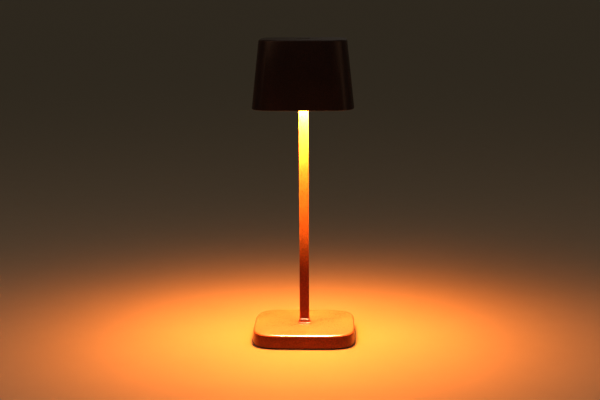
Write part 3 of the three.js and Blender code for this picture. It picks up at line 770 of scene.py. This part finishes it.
def case_screw(low, high):
    """A pan-head screw whose head is at the bottom."""
    flat = low + 1.25 * MM
    core = SHANK_RADIUS - THREAD_DEPTH
    crown = [(0, 0), (1.6, 0.04), (2.3, 0.22), (2.68, 0.58)]
    profile = [(out * MM, low + up * MM) for out, up in crown]
    profile += [(HEAD_RADIUS, low + 0.95 * MM), (HEAD_RADIUS - 0.06 * MM, flat), (core, flat)]
    height = flat + THREAD_PITCH
    while height < high - SHANK_RADIUS:
        profile += [(core, height), (SHANK_RADIUS, height + THREAD_PITCH / 2)]
        height += THREAD_PITCH
    profile += [(core, height), (0.2 * MM, high), (0, high)]
    return loft([(circle(out), up) for out, up in profile], 40)


def screwed_in(bm, turn, at):
    """Turns a screw, or a tool that stamps it, and stands it at its post."""
    bmesh.ops.rotate(bm, verts=bm.verts, matrix=Matrix.Rotation(turn, 3, "Z"))
    bmesh.ops.translate(bm, verts=bm.verts, vec=(at.x, at.y, 0))
    return bm


for number, (node, at) in enumerate(zip(case_screws, screw_places), start=1):
    low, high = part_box(node)
    stopped_at = 0.7 * number
    screw = screwed_in(case_screw(low.z, high.z), stopped_at, at)
    made = piece(f"case_screw_{number}", screw, zinc_steel, node)
    cross = []
    for turn in (0, QUARTER_TURN):
        arm = block(CROSS_ARM, low.z - 1 * MM, low.z + CROSS_DEPTH, 16)
        cross.append(screwed_in(arm, stopped_at + turn, at))
    carve(made, cross)

# %% [markdown]
# ## Charging port
#
# A black bezel fills the window from inside, with a pocket for the plug's cover and a slot in front of
# the socket. All of it is one section, a rectangle with round corners, that grows and shrinks on its way
# to the back, so each piece is one loft. Its visible edges get a small chamfer. A notch in the bezel, at
# the plug's free end, lets a fingernail in.

# %% Bezel
BEZEL_BACK, BEZEL_FACE = (corner.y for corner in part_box("port_bezel"))
FLANGE_FACE = 52.36 * MM
POCKET_FLOOR = BEZEL_FACE - 1.4 * MM
BODY = (18.4 * MM, 5.8 * MM, 1.4 * MM)
FLANGE = (22 * MM, 5.8 * MM, 1.4 * MM)
POCKET = (16.4 * MM, 4.6 * MM, 1.1 * MM)
SLOT = (9.24 * MM, 3.5 * MM, 1.73 * MM)


def grown(size, by=0.0):
    """A rounded section of some width, height and radius, with every side moved out."""
    width, height, radius = size
    return rounded(width + 2 * by, height + 2 * by, radius + by)


def port_bezel():
    chamfer = 0.25 * MM
    levels = [(grown(SLOT), BEZEL_BACK), (grown(FLANGE), BEZEL_BACK), (grown(FLANGE), FLANGE_FACE)]
    levels += [(grown(BODY), FLANGE_FACE), (grown(BODY), BEZEL_FACE - chamfer)]
    levels += [(grown(BODY, -chamfer), BEZEL_FACE)]
    levels += [(grown(POCKET, chamfer / 2), BEZEL_FACE), (grown(POCKET), BEZEL_FACE - chamfer / 2)]
    levels += [(grown(POCKET), POCKET_FLOOR), (grown(SLOT, chamfer), POCKET_FLOOR)]
    levels += [(grown(SLOT), POCKET_FLOOR - chamfer)]
    levels.append(levels[0])
    return facing_back(loft(levels, ROUND_STEPS))


bezel = piece("charge_bezel", port_bezel(), black_plastic, "port_bezel")
NOTCH = circle(1.1 * MM)
NOTCH_PLACE = 8.05 * MM
carve(bezel, [facing_back(block(NOTCH, BEZEL_FACE - 0.7 * MM, BEZEL_FACE + 1 * MM, 32), NOTCH_PLACE)])


# %% Socket
socket_low, socket_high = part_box("charging_socket")
TONGUE = rounded(6.6 * MM, 0.7 * MM, 0.2 * MM)


def charging_socket():
    back, mouth = socket_low.y, socket_high.y
    width, height = socket_high.x - socket_low.x, socket_high.z - socket_low.z
    wall = 0.35 * MM
    roll = 0.12 * MM
    levels = [(circle(0), back)]
    levels += [(rounded(width, height, 1.6 * MM), at) for at in (back, mouth - roll)]
    levels += [(rounded(width - 2 * roll, height - 2 * roll, 1.5 * MM), mouth)]
    inside = rounded(width - 2 * wall, height - 2 * wall, 1.25 * MM)
    levels += [(inside, mouth - roll), (inside, back + 1 * MM), (circle(0), back + 1 * MM)]
    return facing_back(loft(levels, ROUND_STEPS))


socket = piece("charge_socket", charging_socket(), socket_steel, "charging_socket")
tongue = facing_back(block(TONGUE, socket_low.y + 0.5 * MM, socket_low.y + 5.8 * MM, 32))
carve(socket, posts=[tongue])

# %% [markdown]
# The plug is one piece of soft rubber: a cover that fills the pocket, a tongue that fills the slot, and a
# raised lip to pull. It turns about the outer edge of its left end, where the real one has its thin
# living hinge, and it rides on its own body. The charging light is a short clear rod with a domed end.

# %% Plug
PLUG_TONGUE = (8.4 * MM, 2.6 * MM, 1.25 * MM)
LIP = rounded(1.5 * MM, 2.9 * MM, 0.7 * MM)
LIP_TOP = rounded(1.1 * MM, 2.5 * MM, 0.5 * MM)
LIP_PLACE = 6.2 * MM


def port_plug():
    low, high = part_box("port_plug")
    width, height = high.x - low.x, high.z - low.z
    cover = (width, height, 0.9 * MM)
    cover_back = high.y - 1.1 * MM
    edge = 0.3 * MM
    tongue_edge = 0.35 * MM
    levels = [(circle(0), low.y)]
    for turn in (0, 30, 60, 90):
        inset = tongue_edge * (1 - math.sin(math.radians(turn)))
        rise = tongue_edge * (1 - math.cos(math.radians(turn)))
        levels.append((grown(PLUG_TONGUE, -inset), low.y + rise))
    levels += [(grown(PLUG_TONGUE), cover_back)]
    levels += [(rounded(width - 0.2 * MM, height - 0.2 * MM, 0.8 * MM), cover_back)]
    levels += [(grown(cover), cover_back + 0.1 * MM)]
    levels += [(grown(cover, out), high.y + rise) for out, rise in arc((-edge, -edge), edge, 0, 90, 5)]
    levels.append((circle(0), high.y))
    return facing_back(loft(levels, ROUND_STEPS))


plug = piece("charge_plug", port_plug(), rubber, "port_plug", body="plug")
lip_back, lip_edge, lip_face = (BEZEL_FACE + rise * MM for rise in (-0.5, 0.15, 0.33))
lip_levels = [(circle(0), lip_back), (LIP, lip_back), (LIP, lip_edge)]
lip_levels += [(LIP_TOP, lip_face), (circle(0), lip_face)]
carve(plug, posts=[facing_back(loft(lip_levels, 32), LIP_PLACE)])


# %% Charging light
def charging_light():
    low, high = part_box("charge_lens")
    radius = 0.9 * MM
    bulge = 0.3 * MM
    levels = [(circle(0), low.y), (circle(radius), low.y)]
    for turn in (0, 25, 50, 75, 90):
        angle = math.radians(turn)
        levels.append((circle(radius * math.cos(angle)), high.y - bulge * (1 - math.sin(angle))))
    return facing_back(loft(levels, 32), middle("charge_lens").x)


piece("charge_light", charging_light(), clear_plastic, "charge_lens")

# %% [markdown]
# ## The stem
#
# Square tube with a small outside radius, as it comes from the mill, cut square and coated. Its foot
# hides in a little flared collar: upright for a moment, then swept in along a hollow curve to the tube.
# Both are lofts of the same section. A round-cornered square keeps all its loft's vertices on the
# corners, so the flats stay truly flat.

# %% Stem tube
stem_low, stem_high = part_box("stem_tube")
STEM_WIDTH = stem_high.x - stem_low.x
STEM_WALL = 1 * MM
STEM_OPENING = STEM_WIDTH + 0.6 * MM


def square(width, radius):
    return rounded(width, width, radius)


def stem_tube():
    burr = 0.12 * MM
    outside = square(STEM_WIDTH, 1 * MM)
    eased = square(STEM_WIDTH - 2 * burr, 0.9 * MM)
    inside = square(STEM_WIDTH - 2 * STEM_WALL, 0.5 * MM)
    levels = [(inside, stem_low.z), (eased, stem_low.z), (outside, stem_low.z + burr)]
    levels += [(outside, stem_high.z - burr), (eased, stem_high.z), (inside, stem_high.z)]
    levels.append(levels[0])
    return loft(levels, ROUND_STEPS)


stem = piece("stem_square_tube", stem_tube(), rust_paint, "stem_tube")


# %% Collar
def stem_collar():
    low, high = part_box("stem_collar")
    wide = high.x - low.x
    neck = 11.6 * MM
    mouth = 11.1 * MM
    straight = 0.7 * MM
    sweep = high.z - low.z - straight - 0.6 * MM
    ease = 0.2 * MM
    opening = square(STEM_OPENING, 1.3 * MM)
    profile = [(wide - ease, low.z), (wide, low.z + ease), (wide, low.z + straight)]
    for turn in range(10, 91, 8):
        angle = math.radians(turn)
        height = low.z + straight + sweep * (1 - math.cos(angle))
        profile.append((wide - (wide - neck) * math.sin(angle), height))
    profile += [(mouth + 0.3 * MM, high.z - 0.12 * MM), (mouth, high.z)]
    levels = [(square(width, 1.6 * MM * width / wide), height) for width, height in profile]
    levels += [(opening, high.z), (opening, low.z)]
    levels.append(levels[0])
    return loft(levels, ROUND_STEPS)


piece("stem_foot_collar", stem_collar(), rust_paint, "stem_collar")

# %% [markdown]
# ## The light
#
# Eight warm light-emitting chips sit in a ring on a board, screwed up against a cast dish that carries
# their heat off. An opal cup snaps into the dish below them and spreads their light. Chips and board keep
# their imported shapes; the cup and the dish are the two pieces that an eye below the shade sees.

# %% Opal diffuser
dish_low, dish_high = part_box("head_dish")
cup_low, cup_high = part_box("diffuser")
MIDDLE_RING = circle(12 * MM)


def opal_cup():
    half = cup_high.x
    wall = 1.4 * MM
    floor = cup_low.z + 2 * MM
    opening = square(STEM_OPENING, 1.3 * MM)
    flare = square(STEM_OPENING + 0.4 * MM, 1.5 * MM)
    edge = 0.6 * MM
    levels = [(opening, floor), (opening, cup_low.z + 0.2 * MM), (flare, cup_low.z)]
    levels += [(MIDDLE_RING, cup_low.z), (INNER_RING, cup_low.z), (squircle(40 * MM), cup_low.z)]
    levels += [(squircle(out), up) for out, up in arc((half - edge, cup_low.z + edge), edge, -90, 0, 5)]
    levels += [(squircle(half), cup_high.z), (squircle(half - wall), cup_high.z)]
    levels += [(squircle(half - wall), floor), (MIDDLE_RING, floor)]
    levels.append(levels[0])
    return loft(levels, OUTLINE_STEPS)


opal_face = piece("opal_cup", opal_cup(), opal, "diffuser")


# %% Head dish
def head_dish():
    half = dish_high.x
    wall = 1.6 * MM
    under = dish_high.z - 2 * MM
    ease = 0.3 * MM
    profile = [(half - wall, under), (half - wall, dish_low.z + ease), (half - wall + ease, dish_low.z)]
    profile += [(half - ease, dish_low.z), (half, dish_low.z + ease)]
    profile += arc((half - 1 * MM, dish_high.z - 1 * MM), 1 * MM, 0, 90, 5)
    levels = [(NIPPLE_HOLE, under), (MIDDLE_RING, under)]
    levels += [(squircle(out), up) for out, up in profile]
    levels += [(MIDDLE_RING, dish_high.z), (NIPPLE_HOLE, dish_high.z)]
    levels.append(levels[0])
    return loft(levels, OUTLINE_STEPS)


dish = piece("light_dish", head_dish(), cast_aluminium, "head_dish")
bracket_holes = [(1.8, x, 0) for x in (22, -22)]
lead_holes = [(2.1, 0, y) for y in (16, -16)]
board_holes = [(1.3, x, y) for x in (-26, 26) for y in (-26, 26)]
carve(dish, [block(circle(radius * MM), dish_low.z, dish_high.z + 1 * MM, 24, x * MM, y * MM)
             for radius, x, y in bracket_holes + lead_holes + board_holes])

# %% [markdown]
# ## The shade
#
# A thin shell, deep drawn and coated inside and out, that leans in as it rises. The lower rim is rolled
# to a small round so that it isn't sharp, and the top edge has a real radius. A round well in the middle
# of the top lets the button's ring sit flush, and the shell has a hole there for the button's body.

# %% Shade shell
shade_low, shade_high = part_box("shade")
SHADE_TOP_HALF = 45.75 * MM
SHADE_WALL = 1.2 * MM
SHADE_EDGE = 2 * MM
WELL_RADIUS = 9.8 * MM
WELL_FLOOR = shade_high.z - 1.2 * MM
BODY_HOLE = 8.3 * MM
shade_taper = (shade_high.x - SHADE_TOP_HALF) / (shade_high.z - shade_low.z)


def shade_half(height):
    """Half the shade's outside width at a height."""
    return shade_high.x - (height - shade_low.z) * shade_taper


def shade_shell():
    ceiling = shade_high.z - SHADE_WALL
    under_well = WELL_FLOOR - SHADE_WALL
    well_out = circle(WELL_RADIUS + SHADE_WALL)
    levels = [(circle(BODY_HOLE), under_well), (well_out, under_well), (well_out, ceiling)]
    curve = 1 * MM
    rim = SHADE_WALL / 2
    profile = [(shade_half(ceiling) - SHADE_WALL - curve, ceiling)]
    profile += [(shade_half(height) - SHADE_WALL, height) for height in (ceiling - curve, shade_low.z + rim)]
    profile += arc((shade_half(shade_low.z) - rim, shade_low.z + rim), rim, 195, 345, 8)
    round_low = shade_high.z - SHADE_EDGE
    round_out = shade_half(round_low) - SHADE_EDGE
    lean = math.degrees(math.atan(shade_taper))
    profile += arc((round_out, round_low), SHADE_EDGE, lean, 90, 10)
    profile += [(round_out - step * MM, shade_high.z) for step in (0.6, 2.5, 10)]
    levels += [(squircle(out), height) for out, height in profile]
    ease = 0.25 * MM
    levels += [(circle(14 * MM), shade_high.z), (circle(WELL_RADIUS + ease), shade_high.z)]
    levels += [(circle(WELL_RADIUS), shade_high.z - ease), (circle(WELL_RADIUS), WELL_FLOOR)]
    levels += [(circle(BODY_HOLE), WELL_FLOOR), levels[0]]
    return loft(levels, OUTLINE_STEPS)


shade = piece("shade_shell", shade_shell(), umber_paint, "shade")

# %% [markdown]
# ## The push button
#
# One button on top switches the lamp on and dims it. It stands in a turned ring that clamps the shade.
# Its cap is hollowed a little so that a finger finds it in the dark, with one fine turned groove near its
# edge, and it rides on its own body because it moves.

# %% Button ring
ring_low, ring_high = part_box("button_housing")
button_low, button_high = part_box("dimmer_button")
TURNED_STEPS = 96
CAP_POCKET = ring_high.z - 3.2 * MM
POCKET_UNDER = CAP_POCKET - 2 * MM


def button_ring():
    bore, under_bore, body, mouth = (size * MM for size in (3.3, 6.6, 8, 7.3))
    edge = 0.35 * MM
    ease = 0.1 * MM
    flange_low = WELL_FLOOR + FIT_GAP
    flange = WELL_RADIUS - FIT_GAP
    profile = [(bore, CAP_POCKET), (bore, POCKET_UNDER), (under_bore, POCKET_UNDER), (under_bore, ring_low.z)]
    profile += [(body, ring_low.z), (body, flange_low)]
    profile += [(flange - ease, flange_low), (flange, flange_low + ease)]
    profile += arc((flange - edge, ring_high.z - edge), edge, 0, 90, 5)
    profile += arc((mouth + edge, ring_high.z - edge), edge, 90, 180, 5)
    profile += [(mouth, CAP_POCKET), (bore, CAP_POCKET)]
    return loft([(circle(out), up) for out, up in profile], TURNED_STEPS)


piece("button_ring", button_ring(), umber_paint, "button_housing")


# %% Button
def dimmer_button():
    cap = button_high.z
    cap_low = cap - 1.8 * MM
    hook_top = POCKET_UNDER - FIT_GAP
    shank, hook, rim = (size * MM for size in (3, 3.9, 7))
    edge = 0.5 * MM
    ease = 0.2 * MM
    dip = 0.42 * MM
    profile = [(0, button_low.z), (shank - ease, button_low.z), (shank, button_low.z + ease)]
    profile += [(hook, hook_top - 0.6 * MM), (hook, hook_top), (shank, hook_top), (shank, cap_low)]
    profile += [(rim - ease, cap_low), (rim, cap_low + ease)]
    profile += arc((rim - edge, cap - edge), edge, 0, 90, 6)
    groove = ((6.0, 0), (5.85, 0.2), (5.65, 0.2), (5.5, 0))
    profile += [(out * MM, cap - depth * MM) for out, depth in groove]
    profile += [(5.3 * MM * share, cap - dip * (1 - share ** 2)) for share in (0.95, 0.8, 0.6, 0.4, 0.2, 0)]
    return loft([(circle(out), up) for out, up in profile], TURNED_STEPS)


piece("push_button", dimmer_button(), button_metal, "dimmer_button", body="button")

# %% [markdown]
# ## What stays as the frame made it
#
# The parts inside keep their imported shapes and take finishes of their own: zinc-plated steel, brass,
# printed board, shrink-wrapped battery, moulded nylon. A node's finish goes into its object's material
# slots, and its mesh is left alone.

# %% Finish the carried-over nodes
inside_finishes = {
    zinc_steel: ["ballast_plate", "foot_washer", "foot_nut", "head_washer", "head_nut", "shade_bracket",
                 "button_nut", *numbered("board_screw", 2), *numbered("bracket_screw", 2),
                 *numbered("led_board_screw", 4)],
    turned_brass: ["stem_foot_insert", "stem_head_insert"],
    black_plastic: ["charge_chip", "tact_switch"],
    battery_wrap: ["battery_pack"],
    green_board: ["charge_board", "switch_board"],
    white_nylon: ["lead_connector", "battery_connector"],
    wound_coil: ["charge_coil"],
    white_board: ["led_board"],
    warm_phosphor: numbered("led", 8),
    lead_sheath: ["stem_lead", "battery_lead", "switch_lead"],
}
for finish, nodes in inside_finishes.items():
    for node in nodes:
        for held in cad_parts[node].material_slots:
            held.material = finish
print("finished", sum(len(nodes) for nodes in inside_finishes.values()), "inside parts")

# %% [markdown]
# ## The floor
#
# A plain pale floor, wide enough that its far edge never shows. It lies a tenth of a millimetre below the
# pad, because two faces in one plane flicker.

# %% Floor
FLOOR_COLOUR = (0.60, 0.57, 0.53)
FLOOR_REACH = 400
FLOOR_DROP = 0.1 * MM


def make_floor():
    bm = bmesh.new()
    bmesh.ops.create_grid(bm, x_segments=1, y_segments=1, size=FLOOR_REACH)
    bmesh.ops.translate(bm, verts=bm.verts, vec=(0, 0, -FLOOR_DROP))
    floor = placed("floor", bm)
    pale = Finish("pale_floor", {"Roughness": 0.75, "Specular IOR Level": 0.3})
    tone = pale.noise(30 * MM, 3.0)
    pale.vary(base_color=pale.mix(tone, shade_of(FLOOR_COLOUR, 0.98), shade_of(FLOOR_COLOUR, 1.02)))
    floor.data.materials.append(pale.material)
    return floor


floor = make_floor()
print("floor is", round(floor.dimensions.x), "m wide")

# %% [markdown]
# ## The studio
#
# Soft, plain and low: one wide light from the front left, weaker ones from the right, from behind and
# from above, and a little light all round. They are kept low because the lamp is lit, and its own light
# has to win. The two in front are warm, as light is that comes back off a table under a lamp. The other
# two are kept off the floor by light linking, which does the work of a flag or a barn door.

# %% Studio lights
def aimed(name, kind, place, aim, watts, colour, **settings):
    """A light that faces a point."""
    data = bpy.data.lights.new(name, kind)
    data.energy = watts
    data.color = colour
    for setting, item in settings.items():
        setattr(data, setting, item)
    light = bpy.data.objects.new(name, data)
    bpy.context.scene.collection.objects.link(light)
    light.location = place
    light.rotation_euler = (Vector(aim) - Vector(place)).to_track_quat("-Z", "Y").to_euler()
    return light


def only_on(light, pieces):
    """Keeps a light to some pieces."""
    lit = bpy.data.collections.new(f"lit_by_{light.name}")
    for made in pieces:
        lit.objects.link(made)
    light.light_linking.receiver_collection = lit


WARM = (1.0, 0.62, 0.40)
WHITE = (1.0, 0.97, 0.92)
ROOM_COLOUR = (1.0, 0.86, 0.64, 1)
ROOM_STRENGTH = 0.068
lamp_pieces = [made for made in bpy.context.scene.objects if made.type == "MESH" and made != floor]
aimed("key", "AREA", (-0.9, -0.9, 1.1), (0, 0, 0.2), 3.6, WARM, size=0.9)
aimed("fill", "AREA", (1.2, -0.6, 0.7), (0, 0, 0.2), 1.7, WARM, size=1.0)
only_on(aimed("rim", "AREA", (0.3, 1.2, 0.9), (0, 0, 0.25), 0.2, WHITE, size=0.8), lamp_pieces)
only_on(aimed("overhead", "AREA", (0.1, 0, 1.5), (0, 0, 0.3), 1.4, WHITE, size=0.7), lamp_pieces)
world = bpy.data.worlds.new("studio")
bpy.context.scene.world = world
world.use_nodes = True
room = world.node_tree.nodes["Background"]
room.inputs["Color"].default_value = ROOM_COLOUR
room.inputs["Strength"].default_value = ROOM_STRENGTH
print("studio lights:", [item.name for item in bpy.data.lights])

# %% [markdown]
# ## The lamp's own light
#
# A soft square panel just under the opal cup lights the base. The floor has a copy of it that is weaker
# and more orange, or a pale floor would burn out long before the paint glows. The stem hangs in the
# middle of the light, and grazing light on it dies away with depth, so four spots stand for the cup
# there: each washes one face, and the edge of its cone stops the light two thirds of the way down. The
# opal's own emission lights the shade's inside.
#
# The view is Standard with a high contrast look, because a filmic view would turn a lit lamp's deep
# orange to cream.

# %% Lamp lights
LAMP_COLOUR = (1.0, 0.88, 0.50)
WASH_COLOUR = (1.0, 1.0, 0.42)
FLOOR_GLOW = (1.0, 0.28, 0.035)
GLOW_SIDE = 82 * MM
WASH_PLACE = Vector((0, -40, 270)) * MM
WASH_DOWN = math.radians(40.8)
WASH_CONE = math.radians(79)
LAMP_WATTS = 10.8
FLOOR_WATTS = 2.3
WASH_WATTS = 14.0
under_cup = (0, 0, cup_low.z - 0.2 * MM)

lamp_glow = aimed("lamp_glow", "AREA", under_cup, (0, 0, 0), LAMP_WATTS, LAMP_COLOUR, size=GLOW_SIDE)
floor_glow = aimed("floor_glow", "AREA", under_cup, (0, 0, 0), FLOOR_WATTS, FLOOR_GLOW, size=GLOW_SIDE)
only_on(lamp_glow, [made for made in lamp_pieces if made not in (stem, shade, dish, opal_face)])
only_on(floor_glow, [floor])
for quarter in range(4):
    turn = Matrix.Rotation(math.radians(90 * quarter), 3, "Z")
    aim = WASH_PLACE + Vector((0, math.cos(WASH_DOWN), -math.sin(WASH_DOWN)))
    wash = aimed(f"stem_wash_{quarter + 1}", "SPOT", turn @ WASH_PLACE, turn @ aim, WASH_WATTS, WASH_COLOUR,
                 spot_size=WASH_CONE, spot_blend=0.15, shadow_soft_size=4 * MM)
    only_on(wash, [stem])
bpy.context.scene.view_settings.view_transform = "Standard"
bpy.context.scene.view_settings.look = "High Contrast"
print("lamp lights:", lamp_glow.name, floor_glow.name, "and four washes")
